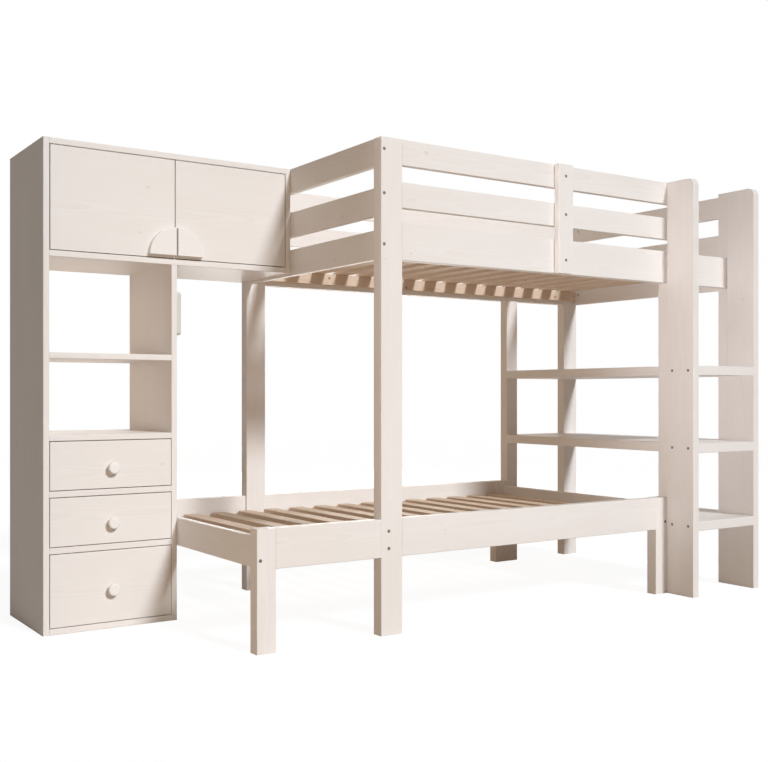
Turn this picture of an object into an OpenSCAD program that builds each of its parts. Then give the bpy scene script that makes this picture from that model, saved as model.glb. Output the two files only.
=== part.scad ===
// Bunk bed with two staggered beds, a cabinet tower at the left end and a
// shelf unit with a ladder at the right end.
// Millimetres, +Z up, +X along the beds, the open front faces -Y.
// The origin is on the floor, under the middle of the whole piece.

/* [Overall] */
// Height of the posts, the ladder boards and the cabinet
total_h = 1760; // [1700:5:1900]
// How far the lower bed is moved to the left of the upper one
stagger = 486; // [440:1:560]
// Rounding of the long edges of every board
edge_r = 2.5; // [1:0.5:4]

/* [Mattresses] */
// Length of the mattress on each bed
mattress_l = 1900; // [1800:10:2000]
// Width of the mattress on each bed
mattress_w = 1000; // [900:10:1100]
// Gap left round the mattress at each side
mattress_gap = 4; // [2:1:10]

/* [Posts and legs] */
// Width of the four tall posts, along the bed
post_w = 90; // [80:1:110]
// Thickness of posts and legs, across the bed
post_t = 50; // [45:1:60]
// Width of the lower bed's legs and of the shelf unit's left posts
leg_w = 70; // [60:1:80]

/* [Bed rails] */
// Height of the long side rails of both beds
side_rail_h = 135; // [120:1:150]
// Thickness of the long side rails
side_rail_t = 40; // [35:1:44]
// Height of the low end rails of both beds
end_rail_h = 104; // [90:1:120]
// Thickness of the end rails
end_rail_t = 25; // [20:1:30]
// Depth of the upper bed's frame, from the underside of its rails to the tops of its posts
upper_frame_h = 430; // [400:5:480]
// Underside of the lower bed's side rails above the floor
lower_rail_z = 276; // [240:1:300]
// Underside of the lower bed's end rails above that of its side rails
end_rail_lift = 6; // [2:1:16]

/* [Guard rails] */
// Height of the long guard rails
guard_h = 92; // [80:1:95]
// Thickness of the long guard rails
guard_t = 25; // [20:1:30]
// Gap between the top and the middle long guard rail
guard_gap = 60; // [50:1:65]
// Height of the guard rails at the ends
end_guard_h = 98; // [80:1:100]
// Gap between the top and the middle guard rail at the ends
end_guard_gap = 78; // [60:1:80]
// Width of the upright stile on the front guard rails
stile_w = 78; // [60:1:90]
// Thickness of the stile
stile_t = 25; // [18:1:30]
// Left edge of the stile from the left end of the upper bed
stile_x = 820; // [700:5:900]

/* [Slats and ledgers] */
// Number of slats in each bed
slat_count = 15; // [12:1:16]
// Width of a slat
slat_w = 63; // [55:1:85]
// Gap between an end rail and the slat next to it
slat_margin = 44; // [20:1:60]
// Thickness of a slat
slat_t = 18; // [15:1:22]
// Gap between a slat's end and the posts
slat_end_gap = 2; // [1:1:4]
// Height of the ledgers that carry the slats
ledger_h = 50; // [35:1:50]
// Thickness of the ledgers
ledger_t = 30; // [25:1:40]
// Top of the upper bed's ledgers above the underside of its side rails
upper_ledger_rise = 68; // [60:1:75]
// Top of the lower bed's ledgers above the underside of its side rails
lower_ledger_rise = 55; // [50:1:60]

/* [Joinery] */
// Length of the tenons on rail ends
tenon_l = 30; // [20:1:36]
// Length of the pinned tenons that join the lower side rails' left parts to the tall posts
pinned_tenon_l = 45; // [42:1:48]
// Thickness of the tenons
tenon_t = 12; // [8:1:14]
// Shoulder above and below a tenon
tenon_shoulder = 18; // [12:1:22]
// Clearance round a tenon in its mortise
tenon_fit = 0.2; // [0.1:0.05:0.4]
// Diameter of the connector bolts
bolt_d = 6; // [5:0.5:7]
// Diameter of the bolt heads
bolt_head_d = 12; // [11:0.5:14]
// Height of the bolt heads, sunk flush
bolt_head_h = 4; // [3:0.5:5]
// Diameter of the hexagon sockets in the bolt heads, across corners
socket_d = 5; // [4:0.5:6]
// Depth of the sockets
socket_depth = 2.5; // [1.5:0.5:3]
// Reach of a connector bolt into the piece it draws up
bolt_reach = 46; // [40:1:55]
// Diameter of the cross nuts
nut_d = 10; // [9:0.5:12]
// Length of the cross nuts
nut_l = 14; // [12:1:16]
// Radial clearance of a bolt in its cross nut
nut_clear = 0.05; // [0.03:0.01:0.1]
// Clearance round bolts and nuts in their bores
bolt_fit = 0.3; // [0.2:0.05:0.5]
// Wood left beyond the tip of a bolt that has no cross nut
bolt_rest = 8; // [4:1:10]
// How far a bolt's tip reaches past its cross nut
bolt_tip = 2; // [1:0.5:4]
// Height of the low end bolts above the underside of their rails
low_bolt_rise = 52; // [40:1:60]
// Distance of the middle end bolts below the top of their rails
mid_bolt_drop = 22; // [18:1:30]
// Distance of the top end bolts below the tops of the posts
top_bolt_drop = 42; // [30:1:50]
// Height of the leg bolts above the underside of the lower end rails
leg_bolt_rise = 25; // [20:1:35]
// Distance of the upper pin bolts below the tenon that they hold
pin_bolt_drop = 25; // [20:1:30]
// Distance of the pin bolts from the outer edge of the left posts
pin_bolt_inset = 32; // [24:1:36]
// Distance of the shelf bolts from the inner edge of the shelf unit's left posts
left_bolt_inset = 16; // [12:1:24]
// Distance of the shelf bolts from the outer edge of the right posts
right_bolt_inset = 27; // [20:1:30]
// Distance of the bolt behind the right ladder board below the upper side rails
rail_bolt_drop = 90; // [70:1:120]
// Distance of the low bolts behind both ladder boards below the middle step
step_bolt_drop = 60; // [40:1:100]
// Distance of the bolts that tie the cabinet to the beds from the edges of its boards
tie_bolt_inset = 80; // [70:1:90]
// Diameter of the dowels in the ends of the cabinet's boards
dowel_d = 8; // [6:1:10]
// Length of a dowel that stands out of its board
dowel_l = 12; // [8:1:14]
// Distance of the dowels from the front and back edges of the boards
dowel_inset = 50; // [40:1:80]
// Distance of the dowels of the overhead cabinet's divider from the cabinet's front and back
divider_dowel_inset = 90; // [70:1:120]
// Clearance round a dowel in its bore
dowel_fit = 0.1; // [0.05:0.05:0.3]
// Space left beyond the end of a tenon, dowel or pin in its hole
blind_gap = 1; // [0.5:0.5:2]

/* [Ladder and shelf unit] */
// Depth of the ladder's side boards
ladder_d = 140; // [120:1:160]
// Thickness of the ladder's side boards
ladder_t = 35; // [30:1:40]
// Rounding of the side boards' top front corners
ladder_corner_r = 30; // [15:1:45]
// Number of steps, each level with a shelf
step_count = 3; // [3:1:4]
// Top of the highest step above the floor
step_top_z = 973; // [930:1:1000]
// Height from one step to the next
step_pitch = 328; // [310:1:330]
// Thickness of the steps and shelves
step_t = 40; // [34:1:46]
// Inset of the step bolts from the board's front and back edges
step_bolt_inset = 27; // [20:1:34]

/* [Cabinet] */
// Outer width of the cabinet tower
tower_w = 500; // [460:2:540]
// Depth of the tower and the overhead cabinet
cabinet_d = 445; // [420:1:480]
// Thickness of the cabinet's boards
board_t = 22; // [18:1:24]
// Height of the overhead cabinet
overhead_h = 420; // [380:5:440]
// Thickness of the cabinet's back panels
back_t = 8; // [6:1:10]
// Top of the open shelf above the floor
open_shelf_z = 1001; // [950:1:1040]
// Clear height of each of the two upper drawer openings
small_opening_h = 178; // [160:1:185]
// Clear height of the bottom drawer opening
large_opening_h = 264; // [240:1:270]

/* [Doors] */
// Thickness of the doors
door_t = 18; // [16:1:20]
// Gap round each door
door_gap = 3; // [3:0.5:4]
// Radius of the quarter-round door handles
handle_r = 104; // [80:1:120]
// Thickness of the door handles
handle_t = 22; // [18:1:26]
// Rounding of the handles' curved front edge
handle_edge_r = 3; // [1:0.5:5]
// Inset of a handle from the door's edge in the middle of the cabinet
handle_inset = 2; // [1:1:10]
// Height of a handle above the door's lower edge
handle_lift = 9; // [3:1:20]
// Distance of the pivot pin from the door's outer edge
pivot_inset = 14; // [14:1:18]
// Diameter of the pivot pins
pivot_d = 6; // [5:0.5:8]
// Length of a pivot pin in the door and in the board
pivot_l = 12; // [10:1:15]
// Radial clearance of a pin in its bush bore
pivot_clear = 0.05; // [0.03:0.01:0.1]
// Diameter of the washers on the pins
washer_d = 12; // [10:0.5:14]
// Running gap between a washer and its door
washer_gap = 0.3; // [0.2:0.1:0.5]

/* [Drawers] */
// Thickness of the drawer fronts
front_t = 18; // [16:1:20]
// Gap round each drawer front
front_gap = 2.5; // [2:0.5:4]
// Space between a closed drawer box and the panel behind it
box_rear_gap = 19; // [10:1:60]
// Thickness of the drawer box walls
box_wall = 12; // [10:1:15]
// Thickness of the drawer bottoms
bottom_t = 6; // [4:1:8]
// Depth of the groove in the box walls that holds the bottom
groove = 6; // [4:0.5:7]
// Height of the bottom above the lower edge of its box
bottom_lift = 8; // [5:1:12]
// Space for a slide at each side of a drawer box
slide_space = 13; // [12.5:0.5:14]
// Height of the slide channels
slide_h = 44; // [36:1:46]
// Wall of the slide channels
slide_wall = 1.5; // [1.2:0.1:2]
// Gap between a channel and the side of the drawer box
channel_gap = 1; // [0.5:0.5:2]
// Gap between a drawer front and its slides
slide_start = 2; // [1:1:6]
// Gap between the slides and the back end of a drawer box
slide_end_gap = 8; // [4:1:20]
// Clearance of a drawer's slide bar in its channel
slide_gap = 0.3; // [0.2:0.1:0.5]
// Space that the drawer box leaves free below it in its opening
box_under = 14; // [12:1:20]
// Space that the drawer box leaves free above it in its opening
box_over = 26; // [20:1:34]
// Diameter of the knobs
knob_d = 44; // [36:1:50]
// Diameter of the knobs' necks
knob_neck_d = 22; // [16:1:26]
// How far the knobs stand out
knob_out = 28; // [22:1:34]
// Thickness of the knobs' heads
knob_head_h = 13; // [10:1:15]
// Rounding of the knobs' faces
knob_face_r = 6; // [3:0.5:7]
// Rounding of the back edge of the knobs' heads
knob_back_r = 3; // [1:0.5:4]
// How far the knobs sit below the middle of a drawer front
knob_drop = 12; // [0:1:14]

/* [Side grip] */
// Length of the grip on the tower's right side
grip_l = 164; // [120:1:200]
// Width of the grip
grip_w = 22; // [18:1:28]
// How far the grip stands out
grip_out = 21; // [16:1:28]
// Distance of the grip's upper end below the overhead cabinet
grip_drop = 100; // [60:1:140]
// Edge of the grip from the tower's front
grip_y = 4; // [4:1:40]

/* [Hidden] */
$fn = 48;
eps = 0.01;
over = 1;

// Lengths of one bed, the same for both
bed_l = mattress_l + 2 * mattress_gap + 2 * end_rail_t;
bed_w = mattress_w + 2 * mattress_gap + 2 * post_t;

// Places along X
tower_x0 = -(tower_w + stagger + bed_l) / 2;
lower_x0 = tower_x0 + tower_w;
upper_x0 = lower_x0 + stagger;
lower_x1 = lower_x0 + bed_l;
upper_x1 = upper_x0 + bed_l;
post_right_x = upper_x1 - post_w;
ladder_left_x = lower_x1;
ladder_right_x = post_right_x;

// Places along Y
front_y = (ladder_d - bed_w) / 2;
back_y = front_y + bed_w;
inner_front_y = front_y + post_t;
inner_back_y = back_y - post_t;
cabinet_y = back_y - cabinet_d;

// Heights of the rails' undersides and of the slats
upper_rail_z = total_h - upper_frame_h;
guard_top_z = total_h - guard_h;
guard_mid_z = guard_top_z - guard_gap - guard_h;
end_top_z = total_h - end_guard_h;
end_mid_z = end_top_z - end_guard_gap - end_guard_h;
end_low_z = upper_rail_z;
lower_end_z = lower_rail_z + end_rail_lift;
leg_h = lower_rail_z + side_rail_h;
upper_slat_z = upper_rail_z + upper_ledger_rise;
lower_slat_z = lower_rail_z + lower_ledger_rise;

// Heights in the tower
overhead_z = total_h - overhead_h;
grip_z = overhead_z - grip_drop - grip_l;
opening_z = [board_t, 2 * board_t + large_opening_h, 3 * board_t + large_opening_h + small_opening_h];
opening_h = [large_opening_h, small_opening_h, small_opening_h];
drawer_top_z = opening_z[2] + opening_h[2];
tower_tops = [board_t, opening_z[1], opening_z[2], drawer_top_z + board_t, open_shelf_z];
overhead_tops = [overhead_z + board_t, total_h];

// Places in the cabinet
inner_left_x = tower_x0 + board_t;
tower_inner_x1 = lower_x0 - board_t;
overhead_inner_x1 = upper_x0 - board_t;
door_split_x = (inner_left_x + overhead_inner_x1) / 2;
door_z0 = overhead_z + board_t + door_gap;
door_h = overhead_h - 2 * board_t - 2 * door_gap;
door_w = (overhead_inner_x1 - inner_left_x - 3 * door_gap) / 2;
pivot_y = cabinet_y + door_t / 2;
pivot_left_x = inner_left_x + door_gap + pivot_inset;
pivot_right_x = overhead_inner_x1 - door_gap - pivot_inset;

// Drawer sizes
front_w = tower_inner_x1 - inner_left_x - 2 * front_gap;
box_w = tower_inner_x1 - inner_left_x - 2 * slide_space;
box_x0 = inner_left_x + slide_space;
box_y0 = cabinet_y + front_t;
box_l = cabinet_d - front_t - back_t - box_rear_gap;
slide_l = box_l - slide_start - slide_end_gap;

// Bolt places
bolt_zs = [end_low_z + low_bolt_rise, end_mid_z + end_guard_h - mid_bolt_drop, total_h - top_bolt_drop];
shelf_bolt_left_x = lower_x1 + leg_w - left_bolt_inset;
shelf_bolt_right_x = upper_x1 - right_bolt_inset;
leg_bolt_z = lower_end_z + leg_bolt_rise;
pin_bolt_z = lower_rail_z + side_rail_h - tenon_shoulder - pin_bolt_drop;
stile_bolt_zs = [bolt_zs[0], guard_mid_z + guard_h / 2, guard_top_z + guard_h / 2];
step_tops = [for (i = [0:step_count - 1]) step_top_z - i * step_pitch];

// Colours
paint = [0.93, 0.91, 0.88];
bare_wood = [0.78, 0.66, 0.55];
steel = [0.45, 0.44, 0.43];
grip_grey = [0.75, 0.75, 0.73];

// A rectangle with rounded corners, from the origin
module soft_rect(w, h, r = edge_r) {
    translate([r, 0]) square([w - 2 * r, h]);
    translate([0, r]) square([w, h - 2 * r]);
    for (x = [r, w - r], y = [r, h - r]) translate([x, y]) circle(r, $fn = 16);
}

// Boards of a given size whose long edges, along the grain, are rounded
module board_x(size) {
    rotate([90, 0, 90]) linear_extrude(size.x) soft_rect(size.y, size.z);
}
module board_y(size) {
    translate([0, size.y, 0]) rotate([90, 0, 0]) linear_extrude(size.y) soft_rect(size.x, size.z);
}
module board_z(size) {
    linear_extrude(size.z) soft_rect(size.x, size.y);
}

// Turns +Z to point along an axis
module aim(way) {
    turn = way == "x+" ? [0, 90, 0] : way == "x-" ? [0, -90, 0]
         : way == "y+" ? [-90, 0, 0] : way == "y-" ? [90, 0, 0]
         : way == "z-" ? [180, 0, 0] : [0, 0, 0];
    rotate(turn) children();
}

// A bolt is [point on the outer face, way it goes, length, way to its nut's open side, reach to there].
// This one goes through a first piece and reaches into a second, where it meets its nut.
function nut_bolt(p, way, through, nut_way, nut_reach) =
    [p, way, through + bolt_reach, nut_way, nut_reach];

// A bolt without a nut, that ends a little short of the last face
function plain_bolt(p, way, depth) = [p, way, depth - bolt_rest, "", 0];

// The front or the back face of the beds, and the way from it into the wood
function bed_face(front) = front ? front_y : back_y;
function bed_way(front) = front ? "y+" : "y-";

// The upper end rails: one bolt through the post into each rail end
function end_bolts(left) =
    let (x = left ? upper_x0 + end_rail_t / 2 : upper_x1 - end_rail_t / 2, nut_way = left ? "x+" : "x-")
    [for (z = bolt_zs, front = [true, false])
        nut_bolt([x, bed_face(front), z], bed_way(front), post_t, nut_way, end_rail_t / 2)];

// The lower end rails: one bolt through the leg into each rail end
function leg_bolts(left) =
    let (x = left ? lower_x0 + end_rail_t / 2 : lower_x1 - end_rail_t / 2, nut_way = left ? "x+" : "x-")
    [for (front = [true, false])
        nut_bolt([x, bed_face(front), leg_bolt_z], bed_way(front), post_t, nut_way, end_rail_t / 2)];

// The left posts: two bolts through the post pin the lower side rail's tenon
pin_bolts = [
    for (z = [leg_bolt_z, pin_bolt_z], front = [true, false])
        plain_bolt([upper_x0 + pin_bolt_inset, bed_face(front), z], bed_way(front), post_t)];

// The stile: one bolt through it into each front guard rail
stile_bolts = [
    for (z = stile_bolt_zs)
        plain_bolt([upper_x0 + stile_x + stile_w / 2, front_y - stile_t, z], "y+", stile_t + guard_t)];

// The steps: two bolts through each ladder board into each step end
step_bolt_ys = [front_y - ladder_d + step_bolt_inset, front_y - step_bolt_inset];
step_bolts = [
    for (top = step_tops, y = step_bolt_ys, left = [true, false])
        nut_bolt([left ? ladder_left_x : ladder_right_x + ladder_t, y, top - step_t / 2],
            left ? "x+" : "x-", ladder_t, "z-", step_t / 2)];

// The shelves: one bolt through each of the four posts
shelf_bolts = [
    for (top = step_tops, left = [true, false], front = [true, false])
        nut_bolt([left ? shelf_bolt_left_x : shelf_bolt_right_x, bed_face(front), top - step_t / 2],
            bed_way(front), post_t, "z-", step_t / 2)];

// The ladder boards: bolts from behind, through rails or post, into the boards' back edges
function ladder_bolt(board_x, through, z) =
    nut_bolt([board_x + ladder_t / 2, front_y + through, z], "y-", through, "x+", ladder_t / 2);
guard_mids = [guard_mid_z + guard_h / 2, guard_top_z + guard_h / 2];
ladder_left_bolts = [for (z = guard_mids) ladder_bolt(ladder_left_x, guard_t, z)];
ladder_right_bolts = [
    for (z = [upper_rail_z - rail_bolt_drop, guard_mids[0]]) ladder_bolt(ladder_right_x, post_t, z)];
ladder_low_bolts = [
    for (x = [ladder_left_x, ladder_right_x])
        ladder_bolt(x, post_t, step_tops[1] - step_t - step_bolt_drop)];

// The cabinet's ties, from inside it: to the back left post, to the end rails and to the back leg
post_tie_bolts = [
    for (z = [overhead_z + tie_bolt_inset, total_h - tie_bolt_inset])
        nut_bolt([overhead_inner_x1, back_y - post_t / 2, z], "x+", board_t, "y-", post_t / 2)];
rail_tie_bolts = [
    for (z = [end_mid_z, end_top_z])
        plain_bolt([overhead_inner_x1, cabinet_y + tie_bolt_inset, z + end_guard_h / 2], "x+",
            board_t + end_rail_t)];
leg_tie_bolts = [
    for (z = [board_t + tie_bolt_inset, lower_rail_z - tie_bolt_inset])
        nut_bolt([tower_inner_x1, back_y - post_t / 2, z], "x+", board_t, "y-", post_t / 2)];

bed_bolts = concat(end_bolts(true), end_bolts(false), leg_bolts(true), leg_bolts(false), pin_bolts,
    stile_bolts, shelf_bolts);
all_bolts = concat(bed_bolts, step_bolts, ladder_left_bolts, ladder_right_bolts, ladder_low_bolts,
    post_tie_bolts, rail_tie_bolts, leg_tie_bolts);

// Bores for a list of bolts, with the recess for the head and the bore for the cross nut
module bolt_bores(list) {
    for (b = list) translate(b[0]) aim(b[1]) {
        translate([0, 0, -over])
            cylinder(d = bolt_head_d + 2 * bolt_fit, h = bolt_head_h + bolt_fit + over);
        cylinder(d = bolt_d + 2 * bolt_fit, h = b[2] + bolt_fit);
    }
    for (b = list) if (b[3] != "") translate(b[0]) nut_place(b)
        translate([0, 0, -nut_l / 2 - bolt_fit])
            cylinder(d = nut_d + 2 * bolt_fit, h = nut_l / 2 + bolt_fit + b[4] + over);
}

// Moves to the middle of a bolt's cross nut and turns +Z to its open side
module nut_place(b) {
    run = b[2] - nut_d / 2 - bolt_tip;
    step = b[1] == "x+" ? [run, 0, 0] : b[1] == "x-" ? [-run, 0, 0]
         : b[1] == "y+" ? [0, run, 0] : [0, -run, 0];
    translate(step) aim(b[3]) children();
}

// A connector bolt with a hexagon socket in its head
module bolt(b) {
    translate(b[0]) aim(b[1]) {
        difference() {
            cylinder(d = bolt_head_d, h = bolt_head_h);
            translate([0, 0, -over]) cylinder(d = socket_d, h = socket_depth + over, $fn = 6);
        }
        translate([0, 0, bolt_head_h]) cylinder(d = bolt_d, h = b[2] - bolt_head_h);
    }
}

module cross_nut(b) {
    translate(b[0]) difference() {
        nut_place(b) translate([0, 0, -nut_l / 2]) cylinder(d = nut_d, h = nut_l);
        aim(b[1]) cylinder(d = bolt_d + 2 * nut_clear, h = b[2] + nut_d);
    }
}

// A mortise for a rail's tenon, cut into the face at x, with way +1 into +X
module mortise(x, way, y_mid, z, rail_h, tenon = tenon_l) {
    depth = tenon + blind_gap;
    translate([way > 0 ? x - eps : x - depth, y_mid - tenon_t / 2 - tenon_fit,
        z + tenon_shoulder - tenon_fit])
        cube([depth + eps, tenon_t + 2 * tenon_fit, rail_h - 2 * tenon_shoulder + 2 * tenon_fit]);
}

// A rail along X with a tenon of a given length on each end
module rail(x0, x1, y0, z, t, h, left = tenon_l, right = tenon_l) {
    translate([x0, y0, z]) board_x([x1 - x0, t, h]);
    translate([x0 - left, y0 + (t - tenon_t) / 2, z + tenon_shoulder])
        cube([x1 - x0 + left + right, tenon_t, h - 2 * tenon_shoulder]);
}

// Middle of a long rail's thickness, in front or at the back
function rail_mid(front, t) = front ? front_y + t / 2 : back_y - t / 2;

module upper_post(left, front) {
    x = left ? upper_x0 : post_right_x;
    face = left ? x + post_w : x;
    way = left ? -1 : 1;
    color(paint) difference() {
        translate([x, front ? front_y : back_y - post_t, 0]) board_z([post_w, post_t, total_h]);
        mortise(face, way, rail_mid(front, side_rail_t), upper_rail_z, side_rail_h);
        if (left || !front) for (z = [guard_mid_z, guard_top_z])
            mortise(face, way, rail_mid(front, guard_t), z, guard_h);
        if (left) {
            mortise(x, 1, rail_mid(front, side_rail_t), lower_rail_z, side_rail_h, pinned_tenon_l);
            mortise(x + post_w, -1, rail_mid(front, side_rail_t), lower_rail_z, side_rail_h);
            bolt_bores(pin_bolts);
        } else {
            bolt_bores(shelf_bolts);
            if (front) bolt_bores(concat(ladder_right_bolts, ladder_low_bolts));
        }
        bolt_bores(end_bolts(left));
        if (left && !front) bolt_bores(post_tie_bolts);
    }
}

module upper_side_rails() {
    for (y = [front_y, back_y - side_rail_t]) color(paint) difference() {
        rail(upper_x0 + post_w, post_right_x, y, upper_rail_z, side_rail_t, side_rail_h);
        bolt_bores(stile_bolts);
    }
}

// The two long guard rails, in front up to the ladder and at the back up to the post
module guard_rails(front) {
    x1 = front ? ladder_left_x + ladder_t : post_right_x;
    y = front ? front_y : back_y - guard_t;
    right = front ? 0 : tenon_l;
    for (z = [guard_mid_z, guard_top_z]) color(paint) difference() {
        rail(upper_x0 + post_w, x1, y, z, guard_t, guard_h, right = right);
        if (front) bolt_bores(concat(stile_bolts, ladder_left_bolts));
    }
}

module guard_stile() {
    color(paint) difference() {
        translate([upper_x0 + stile_x, front_y - stile_t, upper_rail_z])
            board_z([stile_w, stile_t, total_h - upper_rail_z]);
        bolt_bores(stile_bolts);
    }
}

module end_rails(left) {
    x = left ? upper_x0 : upper_x1 - end_rail_t;
    rows = [[end_low_z, end_rail_h], [end_mid_z, end_guard_h], [end_top_z, end_guard_h]];
    for (row = rows) color(paint) difference() {
        translate([x, inner_front_y, row[0]])
            board_y([end_rail_t, inner_back_y - inner_front_y, row[1]]);
        bolt_bores(end_bolts(left));
        if (left) bolt_bores(rail_tie_bolts);
    }
}

// The two ledgers of a bed, notched where posts stand in their way
module ledgers(x0, top_z, stops) {
    for (front = [true, false]) color(bare_wood) difference() {
        y = front ? front_y + side_rail_t : back_y - side_rail_t - ledger_t;
        translate([x0 + end_rail_t, y, top_z - ledger_h])
            board_x([bed_l - 2 * end_rail_t, ledger_t, ledger_h]);
        for (stop = stops) translate([stop[0], front ? front_y : back_y - post_t, 0])
            cube([stop[1], post_t, total_h]);
    }
}

// The slats of a bed, evenly spaced between its end rails
module slats(x0, z) {
    first_x = x0 + end_rail_t + slat_margin;
    pitch = (bed_l - 2 * end_rail_t - 2 * slat_margin - slat_w) / (slat_count - 1);
    for (i = [0:slat_count - 1]) color(bare_wood)
        translate([first_x + i * pitch, inner_front_y + slat_end_gap, z])
            board_y([slat_w, inner_back_y - inner_front_y - 2 * slat_end_gap, slat_t]);
}

module lower_leg(left, front) {
    x = left ? lower_x0 : lower_x1 - leg_w;
    color(paint) difference() {
        translate([x, front ? front_y : back_y - post_t, 0]) board_z([leg_w, post_t, leg_h]);
        mortise(left ? x + leg_w : x, left ? -1 : 1, rail_mid(front, side_rail_t), lower_rail_z,
            side_rail_h);
        bolt_bores(leg_bolts(left));
        if (left && !front) bolt_bores(leg_tie_bolts);
    }
}

// The lower side rails, each in two parts with a tall post between them
module lower_side_rails() {
    for (y = [front_y, back_y - side_rail_t], left = [true, false]) {
        x0 = left ? lower_x0 + leg_w : upper_x0 + post_w;
        x1 = left ? upper_x0 : lower_x1 - leg_w;
        right = left ? pinned_tenon_l : tenon_l;
        color(paint) difference() {
            rail(x0, x1, y, lower_rail_z, side_rail_t, side_rail_h, right = right);
            if (left) bolt_bores(pin_bolts);
        }
    }
}

module lower_end_rails() {
    for (left = [true, false]) color(paint) difference() {
        translate([left ? lower_x0 : lower_x1 - end_rail_t, inner_front_y, lower_end_z])
            board_y([end_rail_t, inner_back_y - inner_front_y, end_rail_h]);
        bolt_bores(leg_bolts(left));
    }
}

module shelf_post(front) {
    color(paint) difference() {
        translate([lower_x1, front ? front_y : back_y - post_t, 0])
            board_z([leg_w, post_t, upper_rail_z]);
        bolt_bores(shelf_bolts);
        if (front) bolt_bores(ladder_low_bolts);
    }
}

// Shelves notched round the four posts, level with the steps
module shelves() {
    for (top = step_tops) color(paint) difference() {
        union() {
            translate([lower_x1, inner_front_y, top - step_t])
                board_y([upper_x1 - lower_x1, inner_back_y - inner_front_y, step_t]);
            translate([lower_x1 + leg_w, front_y, top - step_t])
                board_y([post_right_x - lower_x1 - leg_w, bed_w, step_t]);
        }
        bolt_bores(shelf_bolts);
    }
}

module ladder_side(left) {
    x = left ? ladder_left_x : ladder_right_x;
    r = ladder_corner_r;
    color(paint) difference() {
        translate([x, front_y - ladder_d, 0]) rotate([90, 0, 90]) linear_extrude(ladder_t) {
            square([ladder_d, total_h - r]);
            translate([r, 0]) square([ladder_d - r, total_h]);
            translate([r, total_h - r]) circle(r);
        }
        bolt_bores(step_bolts);
        bolt_bores(left ? ladder_left_bolts : ladder_right_bolts);
        bolt_bores(ladder_low_bolts);
    }
}

module ladder_steps() {
    x0 = ladder_left_x + ladder_t;
    for (top = step_tops) color(paint) difference() {
        translate([x0, front_y - ladder_d, top - step_t])
            board_x([ladder_right_x - x0, ladder_d, step_t]);
        bolt_bores(step_bolts);
    }
}

// Two dowels in the edge of a board at p, one near the cabinet's front and one near its back
module dowels(p, way, inset = dowel_inset) {
    for (y = [cabinet_y + inset, back_y - inset]) translate([p.x, y, p.z]) aim(way)
        translate([0, 0, -eps]) cylinder(d = dowel_d, h = dowel_l + eps);
}

// The bores that take such dowels
module dowel_bores(p, way, inset = dowel_inset) {
    for (y = [cabinet_y + inset, back_y - inset]) translate([p.x, y, p.z]) aim(way)
        translate([0, 0, -over]) cylinder(d = dowel_d + 2 * dowel_fit, h = dowel_l + blind_gap + over);
}

module tower_side_left() {
    color(paint) difference() {
        translate([tower_x0, cabinet_y, 0]) board_z([board_t, cabinet_d, total_h]);
        for (top = concat(tower_tops, overhead_tops))
            dowel_bores([inner_left_x, 0, top - board_t / 2], "x-");
    }
}

module tower_side_right() {
    color(paint) difference() {
        union() {
            translate([tower_inner_x1, cabinet_y, 0]) board_z([board_t, cabinet_d, overhead_z]);
            dowels([tower_inner_x1 + board_t / 2, 0, overhead_z], "z+");
        }
        for (top = tower_tops) dowel_bores([tower_inner_x1, 0, top - board_t / 2], "x+");
        bolt_bores(leg_tie_bolts);
    }
}

// A board between the tower's sides, with its top at a given height and a dowelled end at each side
module tower_board(top, depth) {
    color(paint) {
        translate([inner_left_x, cabinet_y, top - board_t])
            board_x([tower_inner_x1 - inner_left_x, depth, board_t]);
        dowels([inner_left_x, 0, top - board_t / 2], "x-");
        dowels([tower_inner_x1, 0, top - board_t / 2], "x+");
    }
}

module tower_bottom() tower_board(tower_tops[0], cabinet_d);

module drawer_dividers() {
    for (i = [1, 2]) tower_board(tower_tops[i], cabinet_d - back_t);
}

module tower_shelves() {
    for (i = [3, 4]) tower_board(tower_tops[i], cabinet_d);
}

module drawer_bay_back() {
    color(paint) translate([inner_left_x, back_y - back_t, board_t])
        cube([tower_inner_x1 - inner_left_x, back_t, drawer_top_z - board_t]);
}

// A blind bore for one end of a door's pivot pin
module pivot_bore() {
    translate([0, 0, -over])
        cylinder(r = pivot_d / 2 + pivot_clear, h = pivot_l + blind_gap + over);
}

// These bores in the board below or above both doors
module pivot_bores(z, way) {
    for (x = [pivot_left_x, pivot_right_x]) translate([x, pivot_y, z]) aim(way) pivot_bore();
}

// A board of the overhead cabinet, with a dowelled end at each side
module overhead_board(top) {
    translate([inner_left_x, cabinet_y, top - board_t])
        board_x([overhead_inner_x1 - inner_left_x, cabinet_d, board_t]);
    dowels([inner_left_x, 0, top - board_t / 2], "x-");
    dowels([overhead_inner_x1, 0, top - board_t / 2], "x+");
}

module overhead_bottom() {
    color(paint) difference() {
        overhead_board(overhead_tops[0]);
        pivot_bores(overhead_tops[0], "z-");
        dowel_bores([door_split_x, 0, overhead_tops[0]], "z-", divider_dowel_inset);
        dowel_bores([tower_inner_x1 + board_t / 2, 0, overhead_z], "z+");
    }
}

module overhead_top() {
    color(paint) difference() {
        overhead_board(overhead_tops[1]);
        pivot_bores(total_h - board_t, "z+");
        dowel_bores([door_split_x, 0, total_h - board_t], "z+", divider_dowel_inset);
    }
}

module overhead_side_right() {
    color(paint) difference() {
        translate([overhead_inner_x1, cabinet_y, overhead_z]) board_z([board_t, cabinet_d, overhead_h]);
        for (top = overhead_tops) dowel_bores([overhead_inner_x1, 0, top - board_t / 2], "x+");
        bolt_bores(concat(post_tie_bolts, rail_tie_bolts));
    }
}

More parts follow.
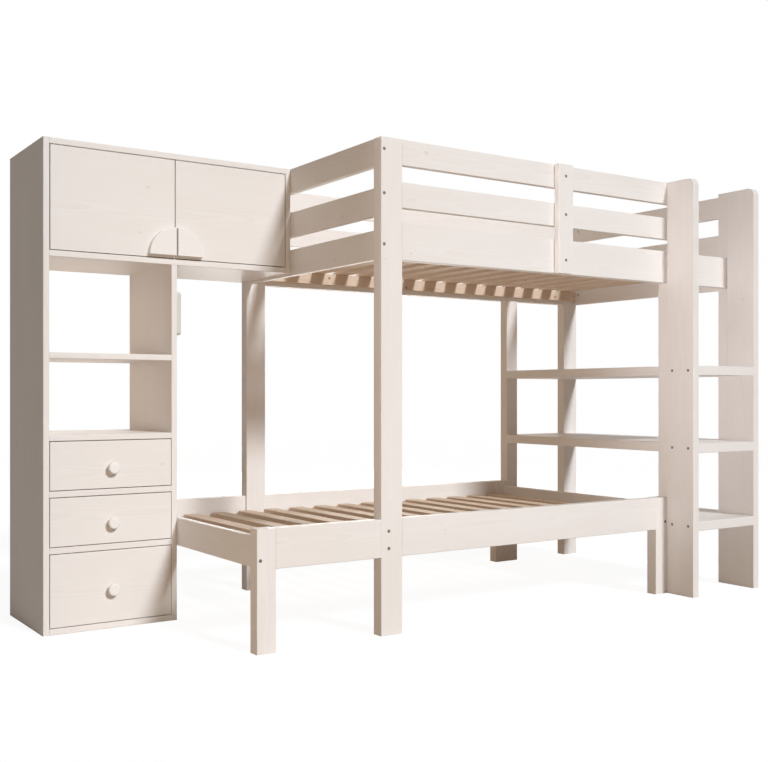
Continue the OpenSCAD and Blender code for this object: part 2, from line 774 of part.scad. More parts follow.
module overhead_divider() {
    depth = cabinet_d - door_t - door_gap - back_t;
    color(paint) {
        translate([door_split_x - board_t / 2, back_y - back_t - depth, overhead_tops[0]])
            board_z([board_t, depth, overhead_h - 2 * board_t]);
        dowels([door_split_x, 0, overhead_tops[0]], "z-", divider_dowel_inset);
        dowels([door_split_x, 0, total_h - board_t], "z+", divider_dowel_inset);
    }
}

module overhead_back() {
    color(paint) translate([inner_left_x, back_y - back_t, overhead_z + board_t])
        cube([overhead_inner_x1 - inner_left_x, back_t, overhead_h - 2 * board_t]);
}

// A rounded grip, flat against the tower's right side
module side_grip() {
    r = grip_w / 2;
    color(grip_grey) translate([lower_x0, cabinet_y + grip_y + r, grip_z]) {
        intersection() {
            union() {
                translate([grip_out - r, 0, r]) cylinder(r = r, h = grip_l - 2 * r);
                for (z = [r, grip_l - r]) translate([grip_out - r, 0, z]) sphere(r);
                rotate([0, 90, 0]) linear_extrude(grip_out - r) {
                    translate([-grip_l + r, -r]) square([grip_l - 2 * r, grip_w]);
                    for (z = [r, grip_l - r]) translate([-z, 0]) circle(r);
                }
            }
            translate([0, -grip_w, 0]) cube([grip_out, 2 * grip_w, grip_l]);
        }
    }
}

// A door in its closed place, with the bores for its pivots
module door(left) {
    x = left ? inner_left_x + door_gap : overhead_inner_x1 - door_gap - door_w;
    pin_x = left ? pivot_left_x : pivot_right_x;
    color(paint) difference() {
        translate([x, cabinet_y, door_z0]) board_z([door_w, door_t, door_h]);
        for (end = [[door_z0, "z+"], [door_z0 + door_h, "z-"]]) translate([pin_x, pivot_y, end[0]])
            aim(end[1]) pivot_bore();
    }
}

// A quarter-round handle in a door's lower corner, beside the middle of the cabinet
module door_handle(left) {
    x = left ? door_split_x - door_gap / 2 - handle_inset : door_split_x + door_gap / 2 + handle_inset;
    color(paint) translate([x, cabinet_y, door_z0 + handle_lift]) rotate([90, 0, 0]) intersection() {
        rotate_extrude($fn = 128) {
            square([handle_r, handle_t - handle_edge_r]);
            square([handle_r - handle_edge_r, handle_t]);
            translate([handle_r - handle_edge_r, handle_t - handle_edge_r]) circle(handle_edge_r);
        }
        translate([left ? -handle_r : 0, 0, 0]) cube([handle_r, handle_r, handle_t]);
    }
}

// The pivot pins, held in the boards, with a washer in each gap
module door_pivots() {
    for (x = [pivot_left_x, pivot_right_x], low = [true, false]) color(steel)
        translate([x, pivot_y, low ? door_z0 : door_z0 + door_h]) aim(low ? "z-" : "z+") {
            translate([0, 0, -pivot_l]) cylinder(d = pivot_d, h = 2 * pivot_l + door_gap);
            translate([0, 0, washer_gap]) cylinder(d = washer_d, h = door_gap - washer_gap);
        }
}

// The slides' middle height in drawer i
function slide_mid_z(i) = opening_z[i] + box_under + (opening_h[i] - box_under - box_over) / 2;

// The channels fixed to the tower's sides, open to the drawers
module drawer_runners() {
    for (i = [0:2], left = [true, false]) color(steel)
        translate([left ? inner_left_x : tower_inner_x1, box_y0 + slide_start, slide_mid_z(i)])
            mirror([left ? 0 : 1, 0, 0])
            difference() {
                translate([0, 0, -slide_h / 2]) cube([slide_space - channel_gap, slide_l, slide_h]);
                translate([slide_wall, -over, -slide_h / 2 + slide_wall])
                    cube([slide_space, slide_l + 2 * over, slide_h - 2 * slide_wall]);
            }
}

module drawer_front(i) {
    color(paint) translate([inner_left_x + front_gap, cabinet_y, opening_z[i] + front_gap])
        board_x([front_w, front_t, opening_h[i] - 2 * front_gap]);
}

// Underside and height of the box of drawer i
function box_z(i) = opening_z[i] + box_under;
function box_h(i) = opening_h[i] - box_under - box_over;

// The two sides of a drawer box, with a groove for the bottom
module drawer_sides(i) {
    for (left = [true, false]) color(bare_wood) difference() {
        translate([left ? box_x0 : box_x0 + box_w - box_wall, box_y0, box_z(i)])
            cube([box_wall, box_l, box_h(i)]);
        translate([box_x0 + box_wall - groove, box_y0 - over, box_z(i) + bottom_lift])
            cube([box_w - 2 * (box_wall - groove), box_l + 2 * over, bottom_t]);
    }
}

module drawer_back(i) {
    z = bottom_lift + bottom_t;
    color(bare_wood) translate([box_x0 + box_wall, box_y0 + box_l - box_wall, box_z(i) + z])
        cube([box_w - 2 * box_wall, box_wall, box_h(i) - z]);
}

module drawer_bottom(i) {
    color(bare_wood) translate([box_x0 + box_wall - groove, box_y0, box_z(i) + bottom_lift])
        cube([box_w - 2 * (box_wall - groove), box_l, bottom_t]);
}

// The bars on the drawer's sides that run in the channels
module drawer_slides(i) {
    for (left = [true, false]) color(steel)
        translate([left ? box_x0 : box_x0 + box_w, box_y0 + slide_start, slide_mid_z(i)])
            mirror([left ? 1 : 0, 0, 0])
            translate([0, 0, -slide_h / 2 + slide_wall + slide_gap])
                cube([slide_space - slide_wall - slide_gap, slide_l,
                    slide_h - 2 * slide_wall - 2 * slide_gap]);
}

// A turned mushroom knob
module drawer_knob(i) {
    r = knob_d / 2;
    head_y = knob_out - knob_head_h;
    color(paint) translate([(inner_left_x + tower_inner_x1) / 2, cabinet_y,
        opening_z[i] + opening_h[i] / 2 - knob_drop])
        rotate([90, 0, 0]) rotate_extrude($fn = 72)
            intersection() {
                union() {
                    square([knob_neck_d / 2, knob_out - knob_face_r]);
                    translate([0, head_y]) square([r - knob_back_r, knob_head_h - knob_face_r]);
                    translate([0, head_y]) square([r - knob_face_r, knob_head_h]);
                    translate([0, head_y + knob_back_r])
                        square([r, knob_head_h - knob_face_r - knob_back_r]);
                    translate([r - knob_face_r, knob_out - knob_face_r]) circle(knob_face_r);
                    translate([r - knob_back_r, head_y + knob_back_r]) circle(knob_back_r);
                }
                square([r, knob_out]);
            }
}

upper_post(true, true);  // upper_post_front_left
upper_post(true, false);  // upper_post_back_left
upper_post(false, true);  // upper_post_front_right
upper_post(false, false);  // upper_post_back_right
upper_side_rails();
guard_rails(true);  // guard_rails_front
guard_rails(false);  // guard_rails_back
guard_stile();
end_rails(true);  // end_rails_left
end_rails(false);  // end_rails_right
ledgers(upper_x0, upper_slat_z, [[upper_x0, post_w], [post_right_x, post_w]]);  // upper_ledgers
slats(upper_x0, upper_slat_z);  // upper_slats
for (left = [true, false], front = [true, false])  // lower_legs
    lower_leg(left, front);
lower_side_rails();
lower_end_rails();
ledgers(lower_x0, lower_slat_z, [[lower_x0, leg_w], [upper_x0, post_w], [lower_x1 - leg_w, leg_w]]);  // lower_ledgers
slats(lower_x0, lower_slat_z);  // lower_slats
for (front = [true, false]) shelf_post(front);  // shelf_posts
shelves();
ladder_side(true);  // ladder_side_left
ladder_side(false);  // ladder_side_right
ladder_steps();
tower_side_left();
tower_side_right();
tower_bottom();
tower_shelves();
drawer_dividers();
overhead_bottom();
overhead_top();
overhead_side_right();
overhead_divider();
overhead_back();
drawer_bay_back();
side_grip();
color(steel) for (b = all_bolts) bolt(b);  // connector_bolts
/* cross_nuts */ color(steel) for (b = all_bolts) if (b[3] != "")
    cross_nut(b);
drawer_runners();
door(true);  // door_left
door_handle(true);  // door_left_handle
door(false);  // door_right
door_handle(false);  // door_right_handle
door_pivots();
drawer_front(0);  // drawer_low_front
drawer_sides(0);  // drawer_low_sides
drawer_back(0);  // drawer_low_back
drawer_bottom(0);  // drawer_low_bottom
drawer_slides(0);  // drawer_low_slides
drawer_knob(0);  // drawer_low_knob
drawer_front(1);  // drawer_mid_front
drawer_sides(1);  // drawer_mid_sides
drawer_back(1);  // drawer_mid_back
drawer_bottom(1);  // drawer_mid_bottom
drawer_slides(1);  // drawer_mid_slides
drawer_knob(1);  // drawer_mid_knob
drawer_front(2);  // drawer_top_front
drawer_sides(2);  // drawer_top_sides
drawer_back(2);  // drawer_top_back
drawer_bottom(2);  // drawer_top_bottom
drawer_slides(2);  // drawer_top_slides
drawer_knob(2);  // drawer_top_knob
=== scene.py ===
import math

import bpy
from mathutils import Matrix, Vector


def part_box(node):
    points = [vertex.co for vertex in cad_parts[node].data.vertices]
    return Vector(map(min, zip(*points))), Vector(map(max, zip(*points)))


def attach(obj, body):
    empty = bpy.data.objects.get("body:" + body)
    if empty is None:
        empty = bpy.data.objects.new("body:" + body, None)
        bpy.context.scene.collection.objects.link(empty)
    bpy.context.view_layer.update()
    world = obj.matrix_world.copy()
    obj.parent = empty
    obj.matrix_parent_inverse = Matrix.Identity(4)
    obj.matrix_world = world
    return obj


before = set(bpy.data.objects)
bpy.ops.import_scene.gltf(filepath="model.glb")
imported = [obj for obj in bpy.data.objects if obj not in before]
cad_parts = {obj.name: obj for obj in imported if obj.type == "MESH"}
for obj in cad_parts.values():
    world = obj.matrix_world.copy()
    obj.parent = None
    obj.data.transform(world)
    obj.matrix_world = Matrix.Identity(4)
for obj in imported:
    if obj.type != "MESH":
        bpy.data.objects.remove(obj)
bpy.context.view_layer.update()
print("frame loaded:", len(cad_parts), "CAD nodes")


def screenColour(red, green, blue):  # a colour as seen on screen, 0 to 255, for a shader socket
    def channel(value):
        share = value / 255
        return share / 12.92 if share <= 0.04045 else ((share + 0.055) / 1.055) ** 2.4

    return (channel(red), channel(green), channel(blue), 1.0)


class Shade:  # a material or world being wired up; add() makes any node
    def __init__(self, owner):
        self.owner = owner
        owner.use_nodes = True
        self.tree = owner.node_tree
        self.tree.nodes.clear()

    def add(self, kind, settings=None, sockets=None, output=0):
        node = self.tree.nodes.new(kind)
        for name, value in (settings or {}).items():
            setattr(node, name, value)
        for name, value in (sockets or {}).items():
            self.feed(node.inputs[name], value)
        return Wire(self, node.outputs[output]) if node.outputs else None

    def feed(self, entry, value):
        if isinstance(value, Wire):
            self.tree.links.new(value.socket, entry)
        else:
            entry.default_value = value

    def mix(self, share, first, second):  # a colour between two, by the sockets that the node keeps for colours
        return self.add("ShaderNodeMix", {"data_type": "RGBA"}, {0: share, 6: first, 7: second}, 2)

    def blend(self, share, first, second):  # a surface between two surfaces
        return self.add("ShaderNodeMixShader", {}, {0: share, 1: first, 2: second})

    def vector(self, x, y, z):
        return self.add("ShaderNodeCombineXYZ", {}, {0: x, 1: y, 2: z})

    def scaled(self, point, factor):
        return self.add("ShaderNodeVectorMath", {"operation": "SCALE"}, {"Vector": point, "Scale": factor})

    def parts(self, value):  # the three numbers of a vector
        node = self.tree.nodes.new("ShaderNodeSeparateXYZ")
        self.feed(node.inputs[0], value)
        return [Wire(self, socket) for socket in node.outputs]

    def place(self):  # where a point lies on its object
        return self.add("ShaderNodeTexCoord", {}, {}, "Object")

    def noise(self, point, detail, seed=0.0):
        settings = {"noise_dimensions": "4D"}
        return self.add("ShaderNodeTexNoise", settings, {"Vector": point, "W": seed, "Scale": 1.0, "Detail": detail})

    def steps(self, value, low, high):  # a smooth rise from 0 to 1 between two limits
        settings = {"interpolation_type": "SMOOTHSTEP"}
        return self.add("ShaderNodeMapRange", settings, {0: value, 1: low, 2: high})

    def seen(self):  # 1 for what the camera sees, also in or through a shiny or clear piece, and 0 for other light
        path = self.add("ShaderNodeLightPath").socket.node
        rays = [Wire(self, path.outputs[kind + " Ray"]) for kind in ("Is Camera", "Is Glossy", "Is Transmission")]
        return (rays[0] + rays[1] + rays[2]).atMost(1.0)


class Wire:  # a socket that can be used in arithmetic
    def __init__(self, shade, socket):
        self.shade = shade
        self.socket = socket

    def maths(self, operation, *values):
        return self.shade.add("ShaderNodeMath", {"operation": operation}, dict(enumerate(values)))

    def __add__(self, other):
        return self.maths("ADD", self, other)

    def __sub__(self, other):
        return self.maths("SUBTRACT", self, other)

    def __rsub__(self, other):
        return self.maths("SUBTRACT", other, self)

    def __mul__(self, other):
        return self.maths("MULTIPLY", self, other)

    def __truediv__(self, other):
        return self.maths("DIVIDE", self, other)

    def __pow__(self, other):
        return self.maths("POWER", self, other)

    def fraction(self):
        return self.maths("FRACT", self)

    def rounded(self):
        return self.maths("ROUND", self)

    def exponent(self):
        return self.maths("EXPONENT", self)

    def absolute(self):
        return self.maths("ABSOLUTE", self)

    def atMost(self, other):
        return self.maths("MINIMUM", self, other)

    __radd__ = __add__
    __rmul__ = __mul__


def finishMaterial(shade, colour, roughness, height, relief, bumpShare, **plain):
    bump = shade.add("ShaderNodeBump", {}, {"Height": height, "Distance": relief, "Strength": bumpShare})
    sockets = {"Base Color": colour, "Roughness": roughness, "Normal": bump, **plain}
    surface = shade.add("ShaderNodeBsdfPrincipled", {}, sockets)
    shade.add("ShaderNodeOutputMaterial", {}, {"Surface": surface})
    return shade.owner


# How the boards look. early and late are the light and dark part of a growth ring, show is how much of the
# grain comes through, relief how deep it stands in metres, and a rarity of 1 leaves no knots.
finishes = {
    "paintedPine": {"early": (239, 234, 231), "late": (231, 223, 217), "knot": (229, 219, 210),
                    "rarity": 0.7, "show": 0.62, "relief": 0.00022, "roughness": 0.46, "sheen": 0.16},
    "paintedTrim": {"early": (242, 238, 235), "late": (237, 232, 228), "knot": (236, 230, 225),
                    "rarity": 0.8, "show": 0.3, "relief": 0.0001, "roughness": 0.38, "sheen": 0.25},
    "barePine": {"early": (222, 202, 183), "late": (198, 173, 150), "knot": (146, 110, 84),
                 "rarity": 0.5, "show": 0.75, "relief": 0.0003, "roughness": 0.6, "sheen": 0.15},
    "drawerPine": {"early": (226, 203, 172), "late": (203, 172, 136), "knot": (150, 108, 72),
                   "rarity": 0.6, "show": 0.6, "relief": 0.0002, "roughness": 0.57, "sheen": 0.15},
}

# Knots stand one to a cell at most, given along and across the board. A ring bends aside by swell, within reach.
knots = {"cell": (0.46, 0.085), "flatness": 1.25, "radius": 0.0035, "radiusSpread": 0.006, "softness": 0.02,
         "edge": (1.15, 0.75), "skin": (0.4, 0.48), "swell": 0.011, "reach": 0.02, "depth": 0.85}
# Growth rings run round a pith that lies a little outside the board, and lean a little along it
rings = {"width": 0.0046, "lean": 0.006, "pithAside": 0.07, "pithOut": 0.035, "pithSpread": 0.06,
         "wander": 0.034, "bends": (1.7, 6.0), "detail": 2.0, "sharpness": 2.6}
# Noise along and across the grain, in turns to the metre
fibres = {"along": 9.0, "across": 420.0, "detail": 3.0}
clouds = {"along": 2.4, "across": 14.0, "detail": 2.0, "apart": 7.0}
# What each adds to the colour between early and late, the roughness and the relief
weights = {"lateTone": 0.62, "fibreTone": 0.5, "cloudTone": 0.7, "baseTone": 0.12, "fibreRough": 0.12,
           "lateRough": 0.04, "lateHeight": 0.55, "fibreHeight": 0.45, "knotHeight": 0.5, "bump": 0.6}
seedReach = 40.0  # how far apart the grain of two boards may start
letterStep = 0.37  # what each letter's number in a node's name adds to the board's own label


def readBoard(shade, node, board):
    # board gives the way of the grain, and for several equal boards the axis they follow each other on
    low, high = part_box(node)
    point = shade.parts(shade.place())
    size = list(high - low)
    main = "XYZ".index(board["grain"])
    if "row" in board:
        size["XYZ".index(board["row"])] = board["width"]
    if "pair" in board:  # two rows, at both ends of the box
        size[3 - main - "XYZ".index(board["row"])] = board["pair"]
    thin, wide = sorted((axis for axis in range(3) if axis != main), key=lambda axis: size[axis])
    centre = list((low + high) / 2)
    number = 0.0
    if board.get("count", 1) > 1:
        row = "XYZ".index(board["row"])
        first = low[row] + board["width"] / 2
        pitch = (high[row] - low[row] - board["width"]) / (board["count"] - 1)
        number = ((point[row] - first) / pitch).rounded()
        centre[row] = number * pitch + first
    label = number + sum(ord(letter) for letter in node) * letterStep
    through = point[thin] - centre[thin]
    if "pair" in board:
        through = through.absolute() - (high[thin] - low[thin] - board["pair"]) / 2
    chance = shade.parts(shade.add("ShaderNodeTexWhiteNoise", {"noise_dimensions": "1D"}, {"W": label}, "Color"))
    return point[main], point[wide] - centre[wide], through, size[thin], chance


def drawKnots(shade, along, across, nearFace, seed, rarity):  # branches that cross the board
    cellAlong, cellAcross = knots["cell"]
    cellPoint = shade.vector(along / cellAlong + seed, across / cellAcross + seed, 0.0)
    cells = shade.add("ShaderNodeTexVoronoi", {"voronoi_dimensions": "2D"}, {"Vector": cellPoint, "Scale": 1.0})
    outputs = cells.socket.node.outputs
    found = shade.parts(Wire(shade, outputs["Position"]))
    luck = shade.parts(Wire(shade, outputs["Color"]))
    placed = shade.parts(cellPoint)
    gapAlong = (found[0] - placed[0]) * cellAlong
    gapAcross = (found[1] - placed[1]) * (cellAcross * knots["flatness"])
    gap = (gapAlong ** 2 + gapAcross ** 2) ** 0.5
    present = shade.steps(luck[1], rarity, rarity + knots["softness"])
    radius = luck[0] * knots["radiusSpread"] + knots["radius"]
    knot = shade.steps(gap / radius, *knots["edge"]) * present * nearFace
    swell = ((gap / knots["reach"]) ** 2 * -1.0).exponent() * present
    return knot, swell


def makeWood(name, node, board, finish):
    shade = Shade(bpy.data.materials.new(name))
    along, across, through, thickness, chance = readBoard(shade, node, board)
    seed = chance[0] * seedReach
    nearFace = shade.steps(through.absolute() / thickness, *knots["skin"])
    knot, swell = drawKnots(shade, along, across, nearFace, seed, finish["rarity"])

    bendAlong, bendAcross = rings["bends"]
    bend = shade.vector(along * bendAlong, across * bendAcross, through * bendAcross)
    wander = shade.noise(bend, rings["detail"], seed) - 0.5
    pithAcross = across - (chance[1] - 0.5) * rings["pithAside"]
    pithThrough = through + chance[2] * rings["pithSpread"] + rings["pithOut"]
    radius = (pithAcross ** 2 + pithThrough ** 2) ** 0.5 + wander * rings["wander"] + along * rings["lean"]
    late = ((radius + swell * knots["swell"]) / rings["width"]).fraction() ** rings["sharpness"]

    def streaks(kind, start):
        stretched = shade.vector(along * kind["along"], across * kind["across"], through * kind["across"])
        return shade.noise(stretched, kind["detail"], start)

    fibre = streaks(fibres, seed)
    cloud = streaks(clouds, seed + clouds["apart"])
    show = finish["show"]
    share = (late * weights["lateTone"] * show + (fibre - 0.5) * weights["fibreTone"] * show
             + (cloud - 0.5) * weights["cloudTone"] + weights["baseTone"])
    colour = shade.mix(share, screenColour(*finish["early"]), screenColour(*finish["late"]))
    colour = shade.mix(knot * knots["depth"], colour, screenColour(*finish["knot"]))
    rough = finish["roughness"] + (fibre - 0.5) * weights["fibreRough"] + late * weights["lateRough"]
    height = late * weights["lateHeight"] + fibre * weights["fibreHeight"] + knot * weights["knotHeight"]
    plain = {"Specular IOR Level": finish["sheen"]}
    return finishMaterial(shade, colour, rough, height, finish["relief"], weights["bump"], **plain)


# Grain and arrangement of the boards in each CAD node
slatRow = {"grain": "Y", "row": "X", "count": 15, "width": 0.063}
boards = {
    "upper_post_front_left": {"grain": "Z"},
    "upper_post_back_left": {"grain": "Z"},
    "upper_post_front_right": {"grain": "Z"},
    "upper_post_back_right": {"grain": "Z"},
    "upper_side_rails": {"grain": "X", "row": "Y", "count": 2, "width": 0.04},
    "guard_rails_front": {"grain": "X", "row": "Z", "count": 2, "width": 0.092},
    "guard_rails_back": {"grain": "X", "row": "Z", "count": 2, "width": 0.092},
    "guard_stile": {"grain": "Z"},
    "end_rails_left": {"grain": "Y", "row": "Z", "count": 3, "width": 0.1},
    "end_rails_right": {"grain": "Y", "row": "Z", "count": 3, "width": 0.1},
    "upper_ledgers": {"grain": "X", "row": "Y", "count": 2, "width": 0.03},
    "upper_slats": slatRow,
    "lower_legs": {"grain": "Z", "row": "X", "count": 2, "width": 0.07, "pair": 0.05},
    "lower_side_rails": {"grain": "X", "row": "Y", "count": 2, "width": 0.04},
    "lower_end_rails": {"grain": "Y", "row": "X", "count": 2, "width": 0.025},
    "lower_ledgers": {"grain": "X", "row": "Y", "count": 2, "width": 0.03},
    "lower_slats": slatRow,
    "shelf_posts": {"grain": "Z", "row": "Y", "count": 2, "width": 0.05},
    "shelves": {"grain": "Y", "row": "Z", "count": 3, "width": 0.04},
    "ladder_side_left": {"grain": "Z"},
    "ladder_side_right": {"grain": "Z"},
    "ladder_steps": {"grain": "X", "row": "Z", "count": 3, "width": 0.04},
    "tower_side_left": {"grain": "Z"},
    "tower_side_right": {"grain": "Z"},
    "tower_bottom": {"grain": "X"},
    "tower_shelves": {"grain": "X", "row": "Z", "count": 2, "width": 0.022},
    "drawer_dividers": {"grain": "X", "row": "Z", "count": 2, "width": 0.022},
    "overhead_bottom": {"grain": "X"},
    "overhead_top": {"grain": "X"},
    "overhead_side_right": {"grain": "Z"},
    "overhead_divider": {"grain": "Z"},
    "overhead_back": {"grain": "X"},
    "drawer_bay_back": {"grain": "X"},
    "door_left": {"grain": "X"},
    "door_right": {"grain": "X"},
    "door_left_handle": {"grain": "X"},
    "door_right_handle": {"grain": "X"},
}
drawerLevels = ("low", "mid", "top")
for level in drawerLevels:
    boards["drawer_" + level + "_front"] = {"grain": "X"}
    boards["drawer_" + level + "_sides"] = {"grain": "Y", "row": "X", "count": 2, "width": 0.012}
    boards["drawer_" + level + "_back"] = {"grain": "X"}
    boards["drawer_" + level + "_bottom"] = {"grain": "X"}
    boards["drawer_" + level + "_knob"] = {"grain": "Y"}


def finishOf(node):
    if node.endswith(("_slats", "_ledgers")):
        return "barePine"
    if node.startswith("drawer_") and node.endswith(("_sides", "_back", "_bottom")) and node != "drawer_bay_back":
        return "drawerPine"
    if node.endswith(("_knob", "_handle")):
        return "paintedTrim"
    return "paintedPine"


# How metal and plastic look: a fine grain, in turns to the metre, runs between two colours and two roughnesses
coats = {
    "zincSteel": {"grain": 260.0, "detail": 3.0, "dark": (112, 106, 100), "light": (146, 140, 133),
                  "roughness": 0.28, "roughSpread": 0.2, "relief": 0.00005, "bump": 0.4, "metal": 1.0},
    "epoxySteel": {"grain": 700.0, "detail": 2.0, "dark": (228, 227, 224), "light": (236, 235, 232),
                   "roughness": 0.3, "roughSpread": 0.1, "relief": 0.00005, "bump": 0.3, "metal": 0.0},
    "gripPlastic": {"grain": 900.0, "detail": 2.0, "dark": (205, 205, 200), "light": (216, 216, 211),
                    "roughness": 0.44, "roughSpread": 0.12, "relief": 0.00006, "bump": 0.5, "metal": 0.0},
    "screwSteel": {"grain": 900.0, "detail": 3.0, "dark": (154, 143, 112), "light": (178, 169, 140),
                   "roughness": 0.3, "roughSpread": 0.2, "relief": 0.00003, "bump": 0.4, "metal": 1.0},
}


def makeCoat(name):
    coat = coats[name]
    shade = Shade(bpy.data.materials.new(name))
    grain = shade.noise(shade.scaled(shade.place(), coat["grain"]), coat["detail"])
    colour = shade.mix(grain, screenColour(*coat["dark"]), screenColour(*coat["light"]))
    rough = grain * coat["roughSpread"] + coat["roughness"]
    return finishMaterial(shade, colour, rough, grain, coat["relief"], coat["bump"], Metallic=coat["metal"])


zincSteel = makeCoat("zincSteel")
epoxySteel = makeCoat("epoxySteel")
coatedNodes = {"connector_bolts": zincSteel, "cross_nuts": zincSteel, "door_pivots": zincSteel,
               "drawer_runners": epoxySteel, "side_grip": makeCoat("gripPlastic")}
for level in drawerLevels:
    coatedNodes["drawer_" + level + "_slides"] = epoxySteel

for node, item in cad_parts.items():
    if node in coatedNodes:
        material = coatedNodes[node]
    else:
        finishName = finishOf(node)
        material = makeWood(finishName + "_" + node, node, boards[node], finishes[finishName])
    item.data.materials.clear()
    item.data.materials.append(material)
print("materials made:", len(bpy.data.materials))


# One raised countersunk screw holds each end of a slat on its ledger. It is modelled once and copied.
slatScrew = {"headRadius": 0.0041, "shankRadius": 0.0019, "taper": 0.0022, "length": 0.012, "proud": 0.0007,
             "slotLength": 0.0048, "slotWidth": 0.001, "slotDepth": 0.0006, "rim": 0.0009, "edge": 0.0003,
             "sides": 28, "tipRound": 0.6, "smooth": 35, "turnStep": 1.7, "turnSide": 3.1}


def pickFaces(test):  # with the piece in edit mode
    piece = bpy.context.object
    bpy.ops.mesh.select_all(action="DESELECT")
    bpy.ops.object.mode_set(mode="OBJECT")
    for face in piece.data.polygons:
        face.select = test(face)
    bpy.ops.object.mode_set(mode="EDIT")


def cutSlots(screw, plan):  # the cross in the head
    cutters = []
    for longX, longY in ((plan["slotLength"], plan["slotWidth"]), (plan["slotWidth"], plan["slotLength"])):
        bpy.ops.object.select_all(action="DESELECT")
        bpy.ops.mesh.primitive_cube_add(size=1, location=(0, 0, 0))
        cutter = bpy.context.object
        cutter.scale = (longX, longY, plan["slotDepth"] * 2)
        bpy.ops.object.transform_apply(location=True, rotation=True, scale=True)
        cutters.append(cutter)
    bpy.context.view_layer.objects.active = screw
    for cutter in cutters:
        bite = screw.modifiers.new("recess", "BOOLEAN")
        bite.operation = "DIFFERENCE"
        bite.object = cutter
        bpy.ops.object.modifier_apply(modifier=bite.name)
        bpy.data.objects.remove(cutter)


def modelSlatScrew(plan):  # with the top of its head at the origin
    bpy.ops.object.select_all(action="DESELECT")
    bpy.ops.mesh.primitive_cylinder_add(vertices=plan["sides"], radius=plan["headRadius"], depth=plan["rim"],
                                        location=(0, 0, -plan["rim"] / 2))
    screw = bpy.context.object
    bpy.ops.object.mode_set(mode="EDIT")
    bpy.ops.mesh.select_mode(type="FACE")
    pickFaces(lambda face: face.normal.z > 0.9)
    bpy.ops.mesh.bevel(offset=plan["edge"], segments=2, affect="EDGES")
    pickFaces(lambda face: face.normal.z < -0.9)
    bpy.ops.mesh.extrude_region_move(TRANSFORM_OT_translate={"value": (0, 0, -plan["taper"])})
    share = plan["shankRadius"] / plan["headRadius"]
    bpy.ops.transform.resize(value=(share, share, 1), center_override=(0, 0, 0))
    bpy.ops.mesh.extrude_region_move(TRANSFORM_OT_translate={"value": (0, 0, plan["taper"] - plan["length"])})
    bpy.ops.mesh.bevel(offset=plan["shankRadius"] * plan["tipRound"], segments=2, affect="EDGES")
    bpy.ops.object.mode_set(mode="OBJECT")
    cutSlots(screw, plan)
    bpy.ops.object.select_all(action="DESELECT")
    screw.select_set(True)
    bpy.ops.object.transform_apply(location=True, rotation=True, scale=True)
    bpy.ops.object.shade_smooth_by_angle(angle=math.radians(plan["smooth"]))
    screw.data.materials.append(makeCoat("screwSteel"))
    return screw


def driveSlatScrews(screw, plan, bed):
    slatLow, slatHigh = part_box(bed + "_slats")
    ledgerLow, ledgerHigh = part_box(bed + "_ledgers")
    ledger = boards[bed + "_ledgers"]["width"]
    pitch = (slatHigh.x - slatLow.x - slatRow["width"]) / (slatRow["count"] - 1)
    frontY = (slatLow.y + ledgerLow.y + ledger) / 2  # the middle of where a slat lies on its ledger
    backY = (slatHigh.y + ledgerHigh.y - ledger) / 2
    placed = []
    for number in range(slatRow["count"]):
        x = slatLow.x + slatRow["width"] / 2 + number * pitch
        for y in (frontY, backY):
            copy = bpy.data.objects.new("screw", screw.data.copy())
            bpy.context.scene.collection.objects.link(copy)
            turn = Matrix.Rotation(number * plan["turnStep"] + y * plan["turnSide"], 4, "Z")
            copy.data.transform(Matrix.Translation((x, y, slatHigh.z + plan["proud"])) @ turn)
            placed.append(copy)
    bpy.ops.object.select_all(action="DESELECT")
    for copy in placed:
        copy.select_set(True)
    bpy.context.view_layer.objects.active = placed[0]
    bpy.ops.object.join()
    row = bpy.context.object
    row.name = bed + "_slat_screws"
    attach(row, "frame")


screwModel = modelSlatScrew(slatScrew)
for bed in ("upper", "lower"):
    driveSlatScrews(screwModel, slatScrew, bed)
bpy.data.objects.remove(screwModel)
print("slat screws driven:", 4 * slatRow["count"])


# The camera stands where the photograph was taken from: level, in front of the cabinet end
view = {"place": (-2.549, -3.5956, 0.8507), "turn": 34.063, "lens": 49.772, "sensor": 36,
        "shift": (-0.00904, 0.01777), "reach": 100}


def placeCamera():
    camera = bpy.data.objects.new("camera", bpy.data.cameras.new("camera"))
    bpy.context.scene.collection.objects.link(camera)
    camera.location = view["place"]
    camera.rotation_euler = (math.radians(90), 0, math.radians(-view["turn"]))
    camera.data.lens = view["lens"]
    camera.data.sensor_width = view["sensor"]
    camera.data.shift_x, camera.data.shift_y = view["shift"]
    camera.data.clip_end = view["reach"]
    bpy.context.scene.camera = camera


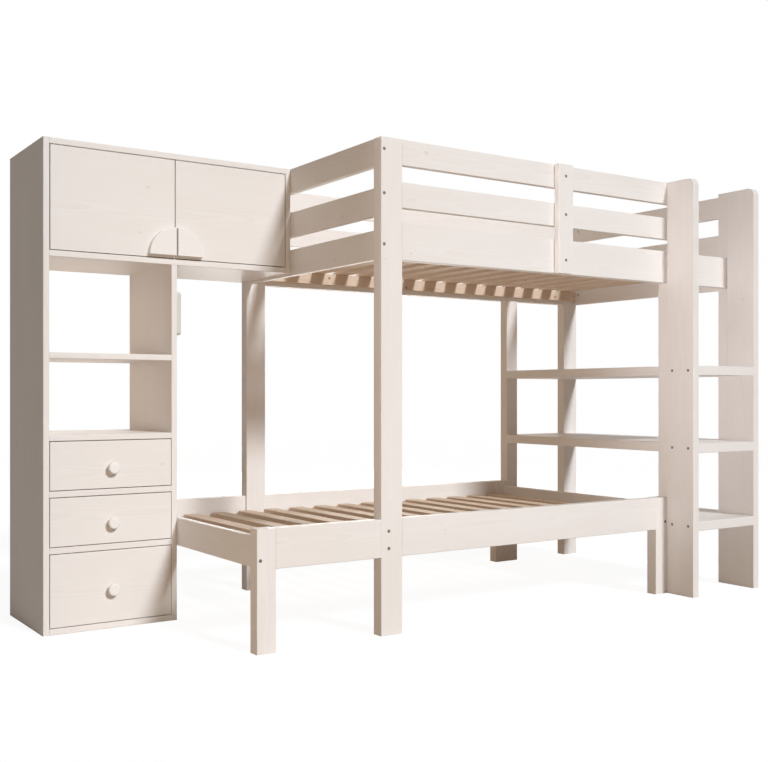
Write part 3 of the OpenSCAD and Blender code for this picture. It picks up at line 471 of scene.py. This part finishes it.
# A sun as wide as a window stands high in front of the ladder end and does most of the work. Warm lamps behind the
# open bays, behind the shelves and at the left throw back what the walls of a room would. A narrow lamp along the
# front reaches the left sides of the ladder, a small one the tower's foot, and one over the upper bed its back
# rails from inside. A wide lamp stands far behind the bed, so that its back doesn't lie in the dark.
sun = {"towards": (0.19, -1.0, 0.64), "strength": 2.6, "colour": (0.92, 0.965, 1.0), "width": 0.17}
lamps = {
    "behindBays": {"size": (0.45, 0.6), "power": 0.42, "colour": (1.0, 0.76, 0.52),
                   "place": (-1.225, 0.75, 1.0), "target": (-1.225, -5.0, 1.0)},
    "behindShelves": {"size": (1.9, 2.4), "power": 3.6, "colour": (1.0, 0.76, 0.52),
                      "place": (0.6, 0.75, 1.2), "target": (0.6, -5.0, 1.2)},
    "wallLeft": {"size": (4.2, 2.6), "power": 12.3, "colour": (1.0, 0.755, 0.52),
                 "place": (-1.6, -2.3, 1.3), "target": (5.0, -2.3, 1.3)},
    "sideGlow": {"size": (0.4, 1.7), "power": 1.95, "colour": (0.94, 0.95, 1.0), "spread": 32, "shadow": False,
                 "place": (-1.45, -0.95, 1.2), "target": (1.2, -0.57, 1.2)},
    "floorGlow": {"size": (1.0, 0.8), "power": 0.3, "colour": (1.0, 0.74, 0.55), "spread": 46,
                  "place": (-3.4, -3.6, 0.45), "target": (-1.2, 0.0, 0.35)},
    "upperGlow": {"size": (1.9, 0.4), "power": 3.4, "colour": (1.0, 0.95, 0.9),
                  "place": (0.4, 0.2, 2.5), "target": (0.4, 0.62, 1.65)},
    "backWindow": {"size": (3.0, 2.4), "power": 200, "colour": (1.0, 0.985, 0.97),
                   "place": (3.4, 6.6, 1.0), "target": (0.2, 0.6, 0.9)},
}


def hangLamp(name, kind, place, way):
    lamp = bpy.data.objects.new(name, bpy.data.lights.new(name, kind))
    bpy.context.scene.collection.objects.link(lamp)
    lamp.location = place
    lamp.rotation_euler = way.to_track_quat("-Z", "Y").to_euler()
    lamp.visible_camera = False
    return lamp.data


def placeLamps():
    key = hangLamp("sun", "SUN", (0, 0, 3), -Vector(sun["towards"]))
    key.energy = sun["strength"]
    key.color = sun["colour"]
    key.angle = sun["width"]
    for name, plan in lamps.items():
        panel = hangLamp(name, "AREA", plan["place"], Vector(plan["target"]) - Vector(plan["place"]))
        panel.shape = "RECTANGLE"
        panel.size, panel.size_y = plan["size"]
        panel.energy = plan["power"]
        panel.color = plan["colour"]
        panel.spread = math.radians(plan.get("spread", 180))
        panel.use_shadow = plan.get("shadow", True)


# The room is white to the camera and a dim warm glow to the object
room = {"colour": (1.0, 0.73, 0.48), "strength": 0.095}
plainWhite = (1.0, 1.0, 1.0, 1.0)


def lightRoom():
    world = bpy.data.worlds.new("room")
    bpy.context.scene.world = world
    shade = Shade(world)
    dim = shade.add("ShaderNodeBackground", {}, {"Color": (*room["colour"], 1.0), "Strength": room["strength"]})
    white = shade.add("ShaderNodeBackground", {}, {"Color": plainWhite, "Strength": 1.0})
    shade.add("ShaderNodeOutputWorld", {}, {"Surface": shade.blend(shade.seen(), dim, white)})


# The floor is white to the camera, with a faint shadow, and pale brown to the light that it throws back
floor = {"half": 14.0, "drop": 0.0006, "white": 0.93, "shadowShare": 0.13, "bounce": (0.62, 0.54, 0.46)}


def layFloor():
    bpy.ops.object.select_all(action="DESELECT")
    bpy.ops.mesh.primitive_plane_add(size=2 * floor["half"], location=(0, 0, -floor["drop"]))
    plane = bpy.context.object
    plane.name = "floor"
    shade = Shade(bpy.data.materials.new("paleFloor"))
    bounce = shade.add("ShaderNodeBsdfDiffuse", {}, {"Color": (*floor["bounce"], 1.0)})
    shadowed = shade.add("ShaderNodeBsdfDiffuse", {}, {"Color": plainWhite})
    strength = floor["white"] / (1 - floor["shadowShare"])
    glow = shade.add("ShaderNodeEmission", {}, {"Color": plainWhite, "Strength": strength})
    pale = shade.blend(floor["shadowShare"], glow, shadowed)
    shade.add("ShaderNodeOutputMaterial", {}, {"Surface": shade.blend(shade.seen(), bounce, pale)})
    plane.data.materials.append(shade.owner)


placeCamera()
placeLamps()
lightRoom()
layFloor()
bpy.context.scene.view_settings.view_transform = "Standard"
print("camera, lamps, room and floor in place")
